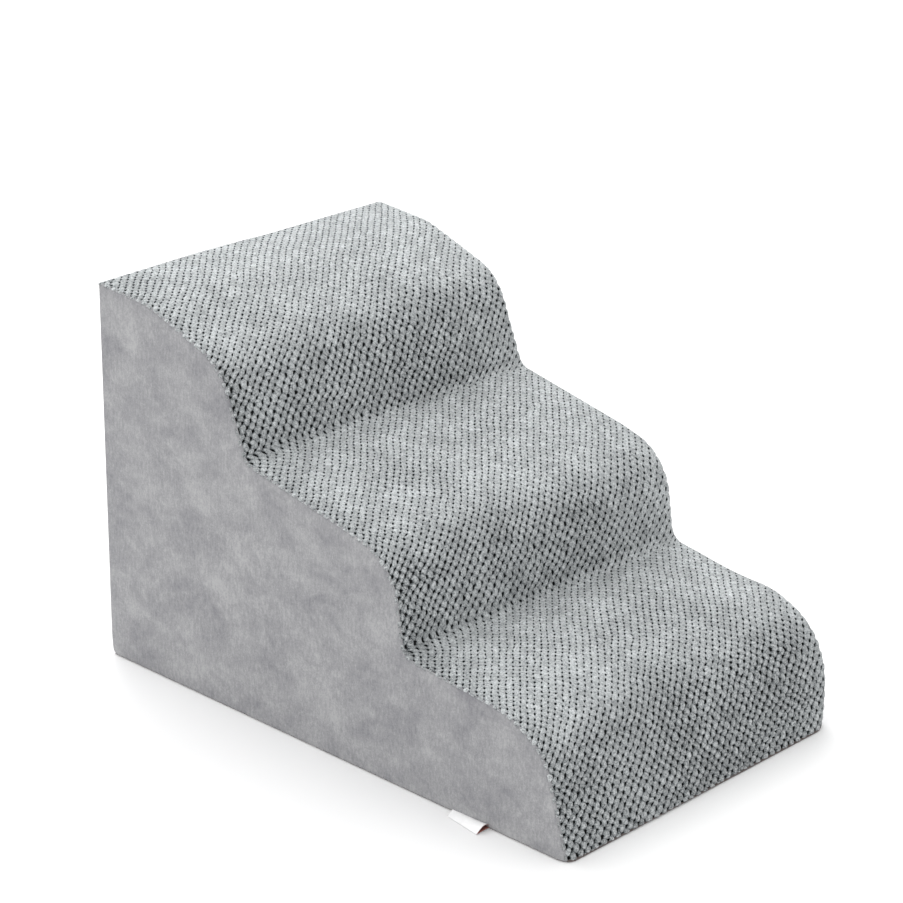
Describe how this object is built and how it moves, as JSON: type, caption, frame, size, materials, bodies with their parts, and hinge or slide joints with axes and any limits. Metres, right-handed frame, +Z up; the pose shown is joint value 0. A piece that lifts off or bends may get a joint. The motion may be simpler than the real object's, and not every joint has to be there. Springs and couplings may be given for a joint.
{
  "type": "dog ramp",
  "caption": "Stepped foam stair that lets a small dog climb onto a bed or sofa, with a zipped plush and suede cover.",
  "frame": {"origin": "centre of the footprint of the covered block, on the floor", "axes": "+Z up, +Y towards the tall back, +X across the steps, so the low front faces -Y"},
  "size_m": [0.411, 0.6302, 0.4],
  "materials": {
    "foam": "matte",
    "soft_foam": "matte",
    "plush": "matte",
    "suede": "matte",
    "grip_cloth": "matte",
    "ribbon": "satin",
    "zip_tape": "matte",
    "zip_coil": "satin",
    "zip_metal": "satin",
    "thread": "satin"
  },
  "bodies": {
    "stair": {"foam_core": "foam", "comfort_layer": "soft_foam", "tread_panel": "plush", "side_panel_left": "suede", "side_panel_right": "suede", "back_panel_upper": "suede", "back_panel_lower": "suede", "base_panel": "grip_cloth", "side_label": "ribbon", "zip_tape_upper": "zip_tape", "zip_tape_lower": "zip_tape", "zip_coil_upper": "zip_coil", "zip_coil_lower": "zip_coil", "zip_top_stops": "zip_metal", "zip_bottom_stop": "zip_metal", "zip_stitches_upper": "thread", "zip_stitches_lower": "thread"},
    "slider": {"zip_slider": "zip_metal"},
    "pull": {"zip_pull": "zip_metal"}
  },
  "joints": [
    {"name": "zip_slide", "type": "slide", "parent": "stair", "child": "slider", "axis": [-1, 0, 0], "range_m": [0, 0.33]},
    {"name": "pull_swing", "type": "hinge", "parent": "slider", "child": "pull", "pos_m": [0.165, 0.3155, 0.044], "axis": [0, 0, 1], "range_deg": [-180, 0]}
  ]
}
